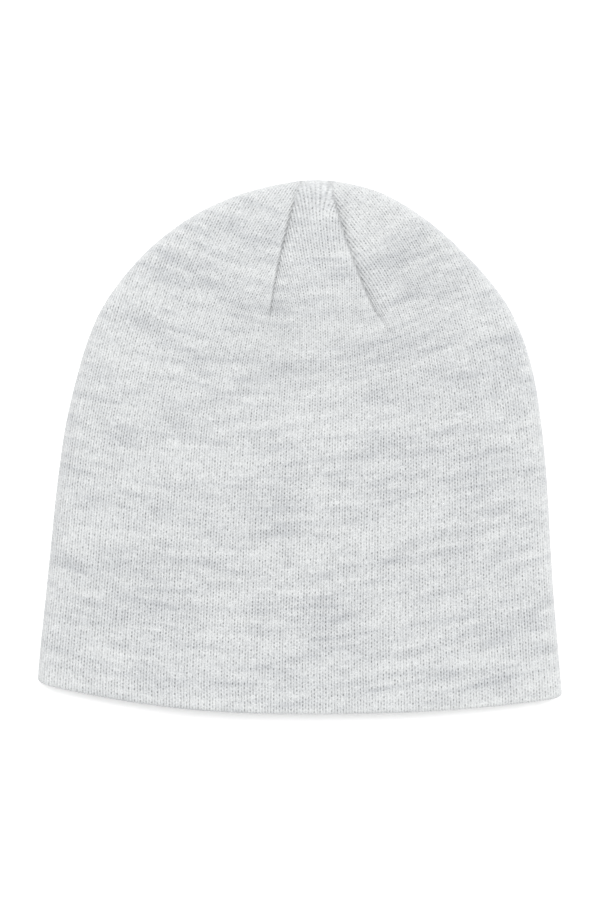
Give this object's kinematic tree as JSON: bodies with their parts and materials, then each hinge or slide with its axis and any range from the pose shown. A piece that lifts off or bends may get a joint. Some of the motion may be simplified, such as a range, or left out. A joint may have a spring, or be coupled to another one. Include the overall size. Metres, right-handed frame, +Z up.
{
  "type": "knit hat",
  "caption": "Plain cuffless pull-on knit hat of double cloth, lying flat, with a folded hem and sewn darts that draw in the crown.",
  "frame": {"origin": "on the table, under the middle of the lying hat", "axes": "+Z up from the table through the front of the hat, +Y from the hem to the crown, +X to the right of someone who looks down at the front"},
  "size_m": [0.2122, 0.2164, 0.0234],
  "materials": {
    "knit_cloth": "soft fine stockinette knit in a pale grey melange yarn, matt"
  },
  "bodies": {
    "root": {"knit_shell": "knit_cloth"}
  },
  "joints": []
}
